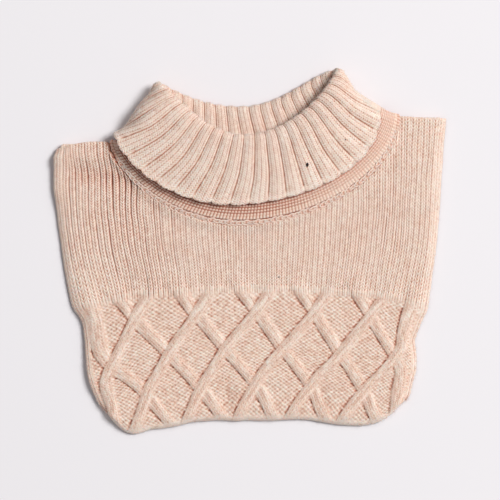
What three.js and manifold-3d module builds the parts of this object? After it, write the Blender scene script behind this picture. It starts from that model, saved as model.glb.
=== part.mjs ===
// Knitted neck warmer with a folded collar, lying flat on a table, face up
// Millimetres, +Z up, table at z = 0, origin under the middle of the outline
import * as THREE from 'three';
import { mergeVertices } from 'three/addons/utils/BufferGeometryUtils.js';
import Module from 'manifold-3d';

const wasm = await Module();
wasm.setup();

// Driving dimensions
const PANEL_THICK = 4; // knitted panel, pressed flat
const LAYER_GAP = 0.3; // air between two layers that lie on each other
const WALL_HALF = 1.4; // half the thickness of the neckband and the collar
const WALES = 70; // knit columns across the front
const CABLE_PITCH = 12; // wales from one cable crossing to the next
const CABLE_HEIGHT = 1.2; // cable crest over the face of the panel
const GROUND_DEPTH = 0.8; // purl ground under the face of the panel
const WALE_RELIEF = 0.35; // rib crest over the face, and groove under it
const EDGE_DROP = 1.7; // rounding of the panel's edge
// Rolled cloth by the left shoulder: lift, the row it lies on, its spread in rows, and the wales
// over which it fades out
const SHOULDER_ROLL = { lift: 2.4, row: -21.5, spread: 1.6, lastWale: 16, fade: 6 };
const COLLAR_RIBS = 40; // wide ribs round the whole collar
const RIB_CREST = 0.5;
const RIB_GROOVE = 0.9;
const NECK_COLUMNS = 88; // stations round the seam and the neckband
const BAND_RELIEF = 0.3;
const SEAM_HALF_WIDTH = 2.3;
const SEAM_HALF_HEIGHT = 1.8;
const SEAM_SIDES = 6;
const SHOULDER_SEAM_WIDTH = 2.4;
// The drawing's middle is moved to the middle of the outline
const CENTRE_X = 1.2;
const CENTRE_Y = -0.9;

// Rows of the front panel from shoulder to hem: x and y at seven wales
const PANEL_WALES = [0, 5, 11, 35, 59, 65, 70];
const PANEL_ROWS = [
  {
    name: 'shoulder', row: -24,
    x: [-175.5, -148, -115, 7, 123, 153, 178],
    y: [90, 92.3, 94.5, 103, 118.3, 116.5, 114.5],
  },
  {
    name: 'chest', row: -13.4,
    x: [-175, -146.7, -112.5, 7, 119, 147, 173],
    y: [45, 45, 45, 45, 47, 48.5, 49.5],
  },
  {
    name: 'waist', row: -6.5,
    x: [-169.7, -141, -108, 7, 116, 144, 169.5],
    y: [6.3, 6.3, 6.3, 6.3, 6.3, 6.3, 6.3],
  },
  {
    name: 'lattice start', row: 0,
    x: [-160, -133, -103, 7, 113, 138.6, 161.5],
    y: [-47.7, -41.4, -34.2, -29.3, -34.2, -38.7, -45],
  },
  {
    name: 'first crossing', row: 4,
    x: [-150.3, -127, -102, 7.8, 110, 133.2, 155],
    y: [-67.5, -64.8, -62, -55, -59.1, -63, -68.4],
  },
  {
    name: 'second crossing', row: 10,
    x: [-145.8, -123.7, -97.2, 5.4, 109, 133.2, 151.7],
    y: [-109, -105, -96.3, -88.2, -95.4, -96.3, -100.8],
  },
  {
    name: 'third crossing', row: 16,
    x: [-136.8, -115.2, -92, 7, 104.4, 127, 145.4],
    y: [-136, -135, -130.9, -120.6, -126.5, -128.7, -129.6],
  },
  {
    name: 'hem', row: 20.5,
    x: [-131, -111, -84.6, 6.3, 100, 125, 141.3],
    y: [-145.8, -164.2, -160.2, -152.6, -157, -150.8, -136],
  },
];
const HEM_RIPPLE = { height: 1.5, period: 24, crest: 11, fromRow: 16 };
const SHOULDER_ROW = -24;
const YOKE_ROWS = [SHOULDER_ROW, -22, -19.5, -13.4, -6.5, 0];
const LATTICE_END = 20.5;
// The first crossing of the cables: its row and its leftmost wale
const FIRST_CROSSING = { row: 4, wale: -1 };
// Wales where the outermost cables run straight down beside the edge
const EDGE_CABLES = { left: 3.5, right: 66.5 };

// Rings round the neck, from the neckline up the stand, over the fold and down to the hem.
// Each has a left and a right fold, and a front and a back curve that sag from the line between
// them; full is 1 for a parabola and 2 for an ellipse, lift raises or lowers the curve from the
// folds over the first round millimetres, and ribs says which rib lies at each fold.
const RINGS = [
  {
    name: 'neckline', left: [-126.9, 95.4, 5.4], right: [138.6, 119.7, 5.4], round: 7, ribs: [-0.6, 19.2],
    front: { sag: 83, fullLeft: 1.45, fullRight: 1.95, lift: 3.8 },
    back: { sag: 59, fullLeft: 1.7, fullRight: 1.7, lift: -2.9 },
  },
  {
    name: 'stand', left: [-105.5, 105.5, 9.4], right: [117, 121, 9.2], round: 8, ribs: [-1.5, 19.6],
    front: { sag: 57, fullLeft: 1.6, fullRight: 1.6, lift: 3.2 },
    back: { sag: 32.7, fullLeft: 1.5, fullRight: 1.5, lift: -2 },
  },
  {
    name: 'stand top', left: [-80, 145.4, 12], right: [79.8, 157.6, 12], round: 18, ribs: [-2.6, 20.3],
    front: { sag: 52.5, fullLeft: 0.9, fullRight: 1.25, lift: 9 },
    back: { sag: 27.4, fullLeft: 0.95, fullRight: 0.6, lift: -5 },
  },
  {
    name: 'crest', left: [-80.4, 149.4, 12], right: [79.2, 161.6, 12], round: 22, ribs: [-2.6, 20.3],
    front: { sag: 53, fullLeft: 0.85, fullRight: 1.2, lift: 11.8 },
    back: { sag: 26.6, fullLeft: 0.95, fullRight: 0.55, lift: -7.4 },
  },
  {
    name: 'outer top', left: [-84.4, 148, 12], right: [83.8, 160.4, 12], round: 24, ribs: [-2.5, 20.2],
    front: { sag: 55, fullLeft: 0.9, fullRight: 1.25, lift: 14.2 },
    back: { sag: 28.6, fullLeft: 0.95, fullRight: 0.6, lift: -9.1 },
  },
  {
    name: 'outer middle', left: [-100.5, 127, 11], right: [97.7, 140.2, 11], round: 16, ribs: [-1.2, 19.4],
    front: { sag: 63.1, fullLeft: 1.15, fullRight: 1.8, lift: 13.2 },
    back: { sag: 35, fullLeft: 1, fullRight: 1, lift: -8.2 },
  },
  {
    name: 'hem', left: [-121, 104.5, 9], right: [118, 126, 9], round: 9, ribs: [0.2, 18.5],
    front: { sag: 74, fullLeft: 1.42, fullRight: 2.35, lift: 8.5 },
    back: { sag: 40, fullLeft: 0.98, fullRight: 1.4, lift: -6.2 },
  },
];
const TRACE_STEPS = 160;

const wool = (name, colour) =>
  new THREE.MeshStandardMaterial({ name, color: colour, roughness: 0.95, metalness: 0 });
const mix = THREE.MathUtils.lerp;
const clamp = THREE.MathUtils.clamp;

// A smooth curve through values at uneven knots
function throughKnots(knots, values, at) {
  let i = 0;
  while (i < knots.length - 2 && at > knots[i + 1]) i++;
  const slope = (k) => {
    const a = Math.max(k - 1, 0);
    const b = Math.min(k + 1, knots.length - 1);
    return (values[b] - values[a]) / (knots[b] - knots[a]);
  };
  const span = knots[i + 1] - knots[i];
  const t = (at - knots[i]) / span;
  const t2 = t * t;
  const t3 = t2 * t;
  return (
    (2 * t3 - 3 * t2 + 1) * values[i] +
    (t3 - 2 * t2 + t) * span * slope(i) +
    (3 * t2 - 2 * t3) * values[i + 1] +
    (t3 - t2) * span * slope(i + 1)
  );
}

function geometryFrom(points, triangles) {
  const geometry = new THREE.BufferGeometry();
  const flat = points.flatMap((p) => [p.x, p.y, p.z]);
  geometry.setAttribute('position', new THREE.Float32BufferAttribute(flat, 3));
  geometry.setIndex(triangles);
  geometry.computeVertexNormals();
  return geometry;
}

// Where a wale and a row lie on the table
function panelPlace(wale, row) {
  const rows = PANEL_ROWS.map((r) => r.row);
  const along = (axis) =>
    throughKnots(rows, PANEL_ROWS.map((r) => throughKnots(PANEL_WALES, r[axis], wale)), row);
  const turn = (2 * Math.PI * (wale - HEM_RIPPLE.crest)) / HEM_RIPPLE.period;
  const ripple = HEM_RIPPLE.height * Math.cos(turn);
  const nearHem = clamp((row - HEM_RIPPLE.fromRow) / (LATTICE_END - HEM_RIPPLE.fromRow), 0, 1);
  return [along('x'), along('y') - ripple * nearHem];
}

// How much cable lies over a wale and row: 0 on the ground, 1 on a cable
function cableAt(wale, row) {
  const steps = row - FIRST_CROSSING.row;
  let most = 0;
  for (let start = FIRST_CROSSING.wale; start < WALES; start += CABLE_PITCH) {
    const falling = clamp(start + steps, EDGE_CABLES.left, EDGE_CABLES.right);
    const rising = clamp(start + CABLE_PITCH - steps, EDGE_CABLES.left, EDGE_CABLES.right);
    for (const centre of [falling, rising]) {
      most = Math.max(most, clamp(2 - Math.abs(wale - centre), 0, 1));
    }
  }
  return most;
}

// A panel: a face of half-wale columns in the yoke and whole wales in the lattice, a rounded
// edge, and a flat underside
function panelSolid({ bottom, relief, yokeStep, latticeStep, rowStep }) {
  const points = [];
  const triangles = [];
  const top = bottom + PANEL_THICK;
  const latticeRows = [];
  for (let row = rowStep; row <= LATTICE_END; row += rowStep) latticeRows.push(row);
  latticeRows.push(LATTICE_END);
  const rows = [...YOKE_ROWS, ...latticeRows];
  const lines = rows.map((row, i) => {
    const step = row <= 0 ? yokeStep : latticeStep;
    const line = [];
    for (let wale = 0; wale <= WALES; wale += step) {
      const [x, y] = panelPlace(wale, row);
      const edge = i === 0 || i === rows.length - 1 || wale === 0 || wale === WALES;
      const z = edge ? top - EDGE_DROP : top + relief(wale, row);
      line.push(points.length);
      points.push(new THREE.Vector3(x, y, z));
    }
    return line;
  });
  for (let i = 0; i + 1 < lines.length; i++) {
    const upper = lines[i];
    const lower = lines[i + 1];
    const ratio = (upper.length - 1) / (lower.length - 1);
    for (let j = 0; j + 1 < lower.length; j++) {
      const fine = upper.slice(j * ratio, (j + 1) * ratio + 1);
      triangles.push(lower[j], lower[j + 1], fine[fine.length - 1]);
      for (let k = 0; k + 1 < fine.length; k++) triangles.push(lower[j], fine[k + 1], fine[k]);
    }
  }
  // The rim runs anticlockwise: down the left, along the hem, up the right, back along the top
  const rim = [
    ...lines.map((line) => line[0]),
    ...lines[lines.length - 1].slice(1),
    ...lines.slice(0, -1).reverse().map((line) => line[line.length - 1]),
    ...lines[0].slice(1, -1).reverse(),
  ];
  const under = rim.map((index) => {
    const p = points[index];
    points.push(new THREE.Vector3(p.x, p.y, bottom));
    return points.length - 1;
  });
  rim.forEach((index, i) => {
    const next = (i + 1) % rim.length;
    triangles.push(index, under[i], under[next], index, under[next], rim[next]);
  });
  const contour = under.map((index) => new THREE.Vector2(points[index].x, points[index].y));
  for (const [a, b, c] of THREE.ShapeUtils.triangulateShape(contour, [])) {
    triangles.push(under[a], under[c], under[b]);
  }
  return geometryFrom(points, triangles);
}

function frontRelief(wale, row) {
  const { lift, row: rollRow, spread, lastWale, fade } = SHOULDER_ROLL;
  const roll = Math.exp(-(((row - rollRow) / spread) ** 2)) * clamp((lastWale - wale) / fade, 0, 1);
  if (row <= 0) return (wale % 1 ? WALE_RELIEF : -WALE_RELIEF) + lift * roll;
  return mix(-GROUND_DEPTH, CABLE_HEIGHT, cableAt(wale, row));
}

// A ring as a function of the rib number, even in length on each side of the folds
function traceRing(ring) {
  const side = (curve, direction) => {
    const points = [];
    const lengths = [0];
    for (let i = 0; i <= TRACE_STEPS; i++) {
      const s = -direction * Math.cos((Math.PI * i) / TRACE_STEPS);
      const full = s < 0 ? curve.fullLeft : curve.fullRight;
      const sag = curve.sag * Math.max(1 - s * s, 0) ** (1 / full);
      const [x, y, z] = ring.left.map((value, axis) => mix(value, ring.right[axis], (s + 1) / 2));
      points.push(new THREE.Vector3(x, y - sag, z));
      if (i > 0) lengths.push(lengths[i - 1] + points[i].distanceTo(points[i - 1]));
    }
    points.forEach((point, i) => {
      const fromFold = Math.min(lengths[i], lengths[TRACE_STEPS] - lengths[i]);
      const flat = 1 - Math.min(fromFold / ring.round, 1);
      point.z += curve.lift * Math.sqrt(1 - flat * flat);
    });
    for (let i = 1; i < points.length; i++) {
      lengths[i] = lengths[i - 1] + points[i].distanceTo(points[i - 1]);
    }
    return (share) => {
      const wanted = share * lengths[TRACE_STEPS];
      let i = 1;
      while (i < TRACE_STEPS && lengths[i] < wanted) i++;
      const t = (wanted - lengths[i - 1]) / (lengths[i] - lengths[i - 1]);
      return points[i - 1].clone().lerp(points[i], t);
    };
  };
  const front = side(ring.front, 1);
  const back = side(ring.back, -1);
  const [first, last] = ring.ribs;
  const frontRibs = last - first;
  return (rib) => {
    const turned = THREE.MathUtils.euclideanModulo(rib - first, COLLAR_RIBS);
    if (turned <= frontRibs) return front(turned / frontRibs);
    return back((turned - frontRibs) / (COLLAR_RIBS - frontRibs));
  };
}

const rings = RINGS.map(traceRing);
const LAST_RING = RINGS.length - 1;

// The middle of the cloth at a rib number and a height, counted in rings from the neckline
function clothAt(rib, height) {
  const path = new THREE.CatmullRomCurve3(rings.map((ring) => ring(rib)), false, 'centripetal');
  return path.getPoint(height / LAST_RING);
}

// The height that lies a distance up the cloth from another height, or down it if negative
function heightAtDistance(rib, from, distance) {
  const start = clothAt(rib, from);
  let height = from + 0.1 * Math.sign(distance);
  for (let i = 0; i < 6; i++) {
    height = from + ((height - from) * Math.abs(distance)) / clothAt(rib, height).distanceTo(start);
  }
  return height;
}

// The side of the cloth that shows has its back to this direction
function hiddenSide(rib, height) {
  const step = 0.05;
  const round = clothAt(rib + step, height).sub(clothAt(rib - step, height));
  const low = Math.max(height - step, 0);
  const high = Math.min(height + step, LAST_RING);
  const up = clothAt(rib, high).sub(clothAt(rib, low));
  return round.cross(up).normalize();
}

// A tube of cloth between heights: the showing side going up, the hidden side coming back
function clothTube(columns, showing, hidden, relief, heightAt = (rib, height) => height) {
  const points = [];
  const sections = [
    ...showing.map((height) => ({ height, out: -1 })),
    ...hidden.map((height) => ({ height, out: 1 })),
  ];
  for (const { height, out } of sections) {
    for (let column = 0; column < columns; column++) {
      const rib = (COLLAR_RIBS * column) / columns;
      const at = heightAt(rib, height);
      const reach = out < 0 ? WALL_HALF + relief(column) : WALL_HALF;
      points.push(clothAt(rib, at).addScaledVector(hiddenSide(rib, at), out * reach));
    }
  }
  return geometryFrom(points, ringTriangles(sections.length, columns));
}

// Triangles of rings that follow each other and close on the first
function ringTriangles(sections, columns) {
  const triangles = [];
  for (let i = 0; i < sections; i++) {
    const lower = i * columns;
    const upper = ((i + 1) % sections) * columns;
    for (let j = 0; j < columns; j++) {
      const next = (j + 1) % columns;
      triangles.push(lower + j, upper + next, lower + next, lower + j, upper + j, upper + next);
    }
  }
  return triangles;
}

// The neckline's plan, moved outwards by the seam's half width, cut through a panel
function cutNeck(geometry, curveName) {
  const ring = RINGS[0];
  const reach = SEAM_HALF_WIDTH + 2 * LAYER_GAP;
  const wide = {
    ...ring,
    left: [ring.left[0] - reach, ring.left[1], 0],
    right: [ring.right[0] + reach, ring.right[1], 0],
    front: { ...ring[curveName], sag: ring[curveName].sag + reach, lift: 0 },
    ribs: [0, COLLAR_RIBS / 2],
  };
  const trace = traceRing(wide);
  const shape = new THREE.Shape();
  const corners = 44;
  const above = 60;
  const below = 10;
  const depth = 40;
  shape.moveTo(wide.left[0], wide.left[1] + above);
  for (let i = 0; i <= corners; i++) {
    const p = trace((COLLAR_RIBS / 2) * (i / corners));
    shape.lineTo(p.x, p.y);
  }
  shape.lineTo(wide.right[0], wide.right[1] + above);
  const cutter = new THREE.ExtrudeGeometry(shape, { depth, bevelEnabled: false });
  cutter.translate(0, 0, -below);
  const cut = toSolid(geometry).subtract(toSolid(cutter)).getMesh();
  const result = new THREE.BufferGeometry();
  result.setAttribute('position', new THREE.Float32BufferAttribute(cut.vertProperties, 3));
  result.setIndex(new THREE.BufferAttribute(cut.triVerts, 1));
  result.computeVertexNormals();
  return result;
}

function toSolid(geometry) {
  const bare = geometry.clone();
  bare.deleteAttribute('normal');
  bare.deleteAttribute('uv');
  const merged = mergeVertices(bare, 1e-4);
  return new wasm.Manifold(
    new wasm.Mesh({
      numProp: 3,
      vertProperties: new Float32Array(merged.attributes.position.array),
      triVerts: new Uint32Array(merged.index.array),
    }),
  );
}

// Back panel: lies on the table under the front, plain where the front covers it
const backPanel = new THREE.Mesh(
  cutNeck(panelSolid({ bottom: 0, relief: () => 0, yokeStep: 5, latticeStep: 5, rowStep: 2 }), 'back'),
  wool('pale pink wool', 0xd9bcae),
);
backPanel.name = 'back_panel';

// Front panel: ribbed yoke over a lattice of cables on a purl ground
const frontPanel = new THREE.Mesh(
  cutNeck(
    panelSolid({
      bottom: PANEL_THICK + LAYER_GAP, relief: frontRelief, yokeStep: 0.5, latticeStep: 1, rowStep: 1,
    }),
    'front',
  ),
  wool('pale pink wool', 0xe0c4b3),
);
frontPanel.name = 'front_panel';

// Shoulder seams: a rounded bar along both panels' top edges
function shoulderSeam(name, fromWale, toWale) {
  const low = 0.8;
  const high = 2 * PANEL_THICK - 0.6;
  const near = panelPlace(fromWale, SHOULDER_ROW);
  const far = panelPlace(toWale, SHOULDER_ROW);
  const length = Math.hypot(far[0] - near[0], far[1] - near[1]);
  const slope = (far[1] - near[1]) / (far[0] - near[0]);
  let bulge = 0;
  for (let wale = fromWale; wale < toWale; wale += 0.5) {
    const [x, y] = panelPlace(wale, SHOULDER_ROW);
    bulge = Math.max(bulge, y - near[1] - slope * (x - near[0]));
  }
  const section = new THREE.Shape();
  const half = SHOULDER_SEAM_WIDTH / 2;
  section.moveTo(-half, low + half);
  section.absarc(0, low + half, half, Math.PI, 2 * Math.PI);
  section.absarc(0, high - half, half, 0, Math.PI);
  section.closePath();
  const bar = { depth: length, bevelEnabled: false, curveSegments: 5 };
  const geometry = new THREE.ExtrudeGeometry(section, bar);
  geometry.rotateX(Math.PI / 2);
  geometry.rotateZ(Math.PI / 2);
  const seam = new THREE.Mesh(geometry, wool('pale pink wool', 0xdec2b2));
  seam.name = name;
  seam.position.set(near[0], near[1] + half + LAYER_GAP + bulge, 0);
  seam.rotation.z = Math.atan2(far[1] - near[1], far[0] - near[0]);
  return seam;
}
const leftSeam = shoulderSeam('shoulder_seam_left', 0.4, 7.6);
const rightSeam = shoulderSeam('shoulder_seam_right', 63.4, 69.7);

// Neck seam: the linked chain that joins the neckband to both panels
function seamRing() {
  const points = [];
  for (let side = 0; side < SEAM_SIDES; side++) {
    const angle = (2 * Math.PI * side) / SEAM_SIDES;
    for (let station = 0; station < NECK_COLUMNS; station++) {
      const rib = (COLLAR_RIBS * station) / NECK_COLUMNS;
      const centre = clothAt(rib, 0);
      const out = hiddenSide(rib, 0);
      const along = clothAt(rib, 0.05).sub(centre).normalize();
      points.push(
        centre
          .addScaledVector(along, SEAM_HALF_WIDTH * Math.cos(angle))
          .addScaledVector(out, SEAM_HALF_HEIGHT * Math.sin(angle)),
      );
    }
  }
  return geometryFrom(points, ringTriangles(SEAM_SIDES, NECK_COLUMNS));
}
const neckSeam = new THREE.Mesh(seamRing(), wool('pale pink wool', 0xe6ccbd));
neckSeam.name = 'neck_seam';

// Neckband: fine rib from the seam up to the collar, inside the fold
const bandStart = (rib) => heightAtDistance(rib, 0, SEAM_HALF_WIDTH + 1.5 * LAYER_GAP);
const bandEnd = (rib) => heightAtDistance(rib, 1, -2 * LAYER_GAP);
const neckband = new THREE.Mesh(
  clothTube(
    NECK_COLUMNS,
    [0, 0.5, 1],
    [1, 0.5, 0],
    (column) => (column % 2 ? BAND_RELIEF : -BAND_RELIEF),
    (rib, height) => mix(bandStart(rib), bandEnd(rib), height),
  ),
  wool('pale pink wool', 0xd6b3a2),
);
neckband.name = 'neckband';

// Collar: a wide ribbed tube that stands up from the neckband and folds over outwards
const ribRelief = (column) => (column % 3 === 0 ? -RIB_GROOVE : RIB_CREST);
const collar = new THREE.Mesh(
  clothTube(3 * COLLAR_RIBS, [1, 1.5, 2, 2.5, 3, 3.5, 4, 4.4, 5, 5.5, 6], [6, 5, 4, 3, 2, 1], ribRelief),
  wool('pale pink wool', 0xe1c6b6),
);
collar.name = 'collar';

const neckWarmer = new THREE.Group();
neckWarmer.add(backPanel, frontPanel, leftSeam, rightSeam, neckSeam, neckband, collar);
neckWarmer.position.set(-CENTRE_X, -CENTRE_Y, 0);

export default neckWarmer;
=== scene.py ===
import bpy
import mathutils
import numpy as np
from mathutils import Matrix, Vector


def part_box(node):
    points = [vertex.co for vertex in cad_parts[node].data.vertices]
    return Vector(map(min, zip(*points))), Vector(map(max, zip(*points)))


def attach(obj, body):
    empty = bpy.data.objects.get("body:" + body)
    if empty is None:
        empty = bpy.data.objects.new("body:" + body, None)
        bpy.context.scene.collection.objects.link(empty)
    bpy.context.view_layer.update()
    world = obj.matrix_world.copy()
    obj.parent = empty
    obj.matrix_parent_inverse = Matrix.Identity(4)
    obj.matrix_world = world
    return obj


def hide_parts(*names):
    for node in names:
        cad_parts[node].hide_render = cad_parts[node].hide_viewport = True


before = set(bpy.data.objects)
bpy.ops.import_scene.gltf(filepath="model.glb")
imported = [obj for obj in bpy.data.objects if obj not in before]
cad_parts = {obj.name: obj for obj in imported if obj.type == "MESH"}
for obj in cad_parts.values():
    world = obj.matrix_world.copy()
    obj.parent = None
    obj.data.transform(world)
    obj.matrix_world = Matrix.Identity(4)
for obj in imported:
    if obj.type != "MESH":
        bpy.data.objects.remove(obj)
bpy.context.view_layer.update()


# Back bib: a flat piece of rib knitted from the same lambswool as the front, a little smaller all
# round. It lies on the table with its ribs down and carries everything else. Its neckline is
# linked to the neckband and its top edges to the front bib.
MM = 0.001
MIDDLE = (1.2, -0.9)  # middle of the outline in the drawing below, mm
PANEL_THICK = 4.0
SHOULDER_ROW = -24
LATTICE_ROW = 0.8  # where the yoke gives way to the lattice
HEM_ROW = 20.5
LAST_WALE = 70
COURSES_PER_ROW = 2.22
EDGE_ROLL = 2.2  # how far a rolled edge drops, mm
EDGE_WALES = 1.6  # how many wales of the side edge roll
EDGE_ROWS = 0.45  # and how many rows of the top edge or the hem
TABLE_GAP = 0.2  # how near the table the cloth comes, mm
# x and y in mm at seven wales, for rows from the shoulder down to the hem
PANEL_WALES = [0, 5, 11, 35, 59, 65, 70]
PANEL_ROWS = [
    dict(row=-24, x=[-175.5, -148, -115, 7, 123, 153, 178], y=[94, 96.7, 97.4, 104, 120.3, 119.5, 118]),
    dict(row=-13.4, x=[-175, -147.7, -114, 7, 122, 150, 173], y=[45, 45, 45, 45, 47, 48.5, 49.5]),
    dict(row=-6.5, x=[-169.7, -144, -111, 7, 119, 147.5, 169.5], y=[6.3, 6.3, 6.3, 6.3, 6.3, 6.3, 6.3]),
    dict(row=0, x=[-160, -133, -103, 7, 113, 138.6, 161.5],
         y=[-47.7, -41.4, -34.2, -29.3, -34.2, -38.7, -45]),
    dict(row=4, x=[-150.3, -127, -102, 7.8, 110, 133.2, 155], y=[-67.5, -64.8, -62, -55, -59.1, -63, -68.4]),
    dict(row=10, x=[-145.8, -123.7, -97.2, 5.4, 109, 133.2, 151.7],
         y=[-109, -105, -96.3, -88.2, -95.4, -96.3, -100.8]),
    dict(row=16, x=[-136.8, -115.2, -92, 7, 104.4, 127, 145.4],
         y=[-136, -135, -130.9, -120.6, -126.5, -128.7, -129.6]),
    dict(row=20.5, x=[-131, -111, -84.6, 6.3, 100, 125, 141.3],
         y=[-145.8, -164.2, -160.2, -152.6, -157, -150.8, -136]),
]
HEM_RIPPLE = dict(height=1.5, period=24, crest=11, from_row=16)
# The right side of the lattice waves out and in by so many mm at these rows
SIDE_WAVE = dict(rows=[-3, 1.5, 4, 6.5, 9, 11.5, 14], out=[0, 2, -1, -4, -1, 1, 0], from_wale=61)
UNEVEN = dict(drift=0.7, stitch=0.15)  # how far wales and stitches stray from even knitting, mm
# The neckline seen from above: a chord between two folds and the sag of each side from it
NECK_LEFT = (-124, 97.5)
NECK_RIGHT = (134.5, 121)
NECK_FRONT = dict(sag=84.7, full_left=1.45, full_right=1.95)
NECK_BACK = dict(sag=60.7, full_left=1.7, full_right=1.7)
SEAM_COVER = 0.8  # how far the cloth's edge stays from the middle of the chain that covers it


def mirrored(half):
    """The profile across a rib or a wale, from its left half up to the middle column."""
    return half + [{**column, "at": round(1 - column["at"], 3)} for column in half[-2:0:-1]]


# One wale of stocking stitch, up to its middle: where its columns of points stand, how high each
# stands in mm, how far each leg has slanted there, how deep the gap between stitches is there in
# mm, how much the column sinks in a deeper groove, and the mark for the wool's colour, from 0 in a
# groove to 1 on a crest, which paints shade into the grooves
WALE = mirrored([
    dict(at=0.0, height=-0.75, slant=1.0, gap=0.2, sinks=1.0, mark=0.2),
    dict(at=0.09, height=-0.05, slant=0.82, gap=0.45, sinks=0.35, mark=0.65),
    dict(at=0.27, height=0.4, slant=0.46, gap=0.8, sinks=0.0, mark=1.0),
    dict(at=0.5, height=-0.2, slant=0.0, gap=1.1, sinks=0.0, mark=0.5),
])
# Three lines of points to a course: the gap above a stitch and both ends of its crest
COURSE = [dict(at=0.0, gap=1.0), dict(at=0.34, gap=0.15), dict(at=0.68, gap=0.0)]
GAP_MARK = 0.5  # painted shade: how much a gap a millimetre deep takes from the mark
SUNK_MARK = 0.5  # and a groove that is a millimetre deeper, also as painted shade
LEG_SLANT = 1.1  # courses that a leg slants over half a wale
GRAIN = dict(height=0.2, mark=0.24)  # how much stitches differ from each other
GROOVE = dict(usual=0.8, uneven=0.6, least=0.1, most=2)  # how deep grooves are and how they vary
WALL_MARK = 0.3  # of side walls and hidden faces


def through_knots(knots, values, at):
    """A smooth curve through values at uneven knots, read at every point of an array."""
    knots = np.asarray(knots, float)
    at = np.asarray(at, float)
    values = np.asarray(values, float)
    if values.ndim == 1:
        values = values.reshape((-1,) + (1,) * at.ndim)
    values = np.broadcast_to(values, (len(knots),) + at.shape)
    i = np.clip(np.searchsorted(knots, at) - 1, 0, len(knots) - 2)
    before = np.maximum(i - 1, 0)
    after = np.minimum(i + 2, len(knots) - 1)
    v0, v1, v2, v3 = (np.take_along_axis(values, k[None], 0)[0] for k in (before, i, i + 1, after))
    span = knots[i + 1] - knots[i]
    slope_1 = (v2 - v0) / (knots[i + 1] - knots[before])
    slope_2 = (v3 - v1) / (knots[after] - knots[i])
    t = (at - knots[i]) / span
    return (
        (2 * t**3 - 3 * t**2 + 1) * v1
        + (t**3 - 2 * t**2 + t) * span * slope_1
        + (3 * t**2 - 2 * t**3) * v2
        + (t**3 - t**2) * span * slope_2
    )


def smooth_step(value, start, end):
    """0 before start, 1 after end, and smooth between them."""
    t = np.clip((value - start) / (end - start), 0, 1)
    return t * t * (3 - 2 * t)


def soft_noise(across, along, seed):
    """Smooth random values from -1 to 1, about one bump for each unit. Each use has its own seed."""
    cells = 64
    values = np.random.default_rng(seed).uniform(-1, 1, (cells, cells))
    x, y = np.floor(across), np.floor(along)
    fx, fy = across - x, along - y
    fx, fy = fx * fx * (3 - 2 * fx), fy * fy * (3 - 2 * fy)
    x, y = x.astype(int) % cells, y.astype(int) % cells
    x1, y1 = (x + 1) % cells, (y + 1) % cells
    top = values[x, y] * (1 - fx) + values[x1, y] * fx
    bottom = values[x, y1] * (1 - fx) + values[x1, y1] * fx
    return top * (1 - fy) + bottom * fy


def panel_place(wale, row):
    """Where a wale and a row of a bib lie on the table, in drawing mm."""
    rows = [r["row"] for r in PANEL_ROWS]
    x, y = (
        through_knots(rows, np.array([through_knots(PANEL_WALES, r[axis], wale) for r in PANEL_ROWS]), row)
        for axis in "xy"
    )
    turn = 2 * np.pi * (wale - HEM_RIPPLE["crest"]) / HEM_RIPPLE["period"]
    near_hem = np.clip((row - HEM_RIPPLE["from_row"]) / (HEM_ROW - HEM_RIPPLE["from_row"]), 0, 1)
    x = x + UNEVEN["drift"] * soft_noise(wale * 0.45, row / 4, 11)
    x = x + UNEVEN["stitch"] * soft_noise(wale * 1.9, row * 2.2, 13)
    wave = np.interp(row, SIDE_WAVE["rows"], SIDE_WAVE["out"])
    x = x + wave * smooth_step(wale, SIDE_WAVE["from_wale"], LAST_WALE)
    y = y - HEM_RIPPLE["height"] * np.cos(turn) * near_hem
    return x, y + UNEVEN["drift"] * soft_noise(wale * 0.3, row / 3, 12)


def drawn_in(wale, row, wales, rows):
    """Where a wale and a row lie once a bib is drawn in from its edges by so many wales and rows."""
    wale = wales + wale * (1 - 2 * wales / LAST_WALE)
    row = SHOULDER_ROW + rows + (row - SHOULDER_ROW) * (1 - 2 * rows / (HEM_ROW - SHOULDER_ROW))
    return panel_place(wale, row)


def neckline_start(wale, side):
    """The row at which each wale starts: at the shoulder, or where it meets the neckline."""
    rows = np.linspace(SHOULDER_ROW, LATTICE_ROW, 500)
    w, r = np.meshgrid(wale, rows)
    x, y = panel_place(w, r)
    span = NECK_RIGHT[0] - NECK_LEFT[0]
    s = 2 * (x - NECK_LEFT[0]) / span - 1
    wide = 1 + 2 * SEAM_COVER / span
    full = np.where(s < 0, side["full_left"], side["full_right"])
    sag = side["sag"] * np.maximum(1 - (s / wide) ** 2, 0) ** (1 / full)
    chord = NECK_LEFT[1] + (NECK_RIGHT[1] - NECK_LEFT[1]) * (s + 1) / 2
    inside = (np.abs(s) < wide) & (y > chord - sag - SEAM_COVER)
    last = np.where(inside.any(0), len(rows) - 1 - inside[::-1].argmax(0), 0)
    return rows[last]


def wale_columns():
    """Every column of points across a bib: its wale number and its place in the profile."""
    places = [(k - 0.5 + c["at"], i) for k in range(LAST_WALE + 1) for i, c in enumerate(WALE)]
    places = [(w, i) for w, i in places if 0 < w < LAST_WALE]
    middle = next(i for i, c in enumerate(WALE) if c["slant"] == 0)
    places = [(0.0, middle)] + places + [(float(LAST_WALE), middle)]
    return np.array([w for w, _ in places]), np.array([i for _, i in places])


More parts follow.
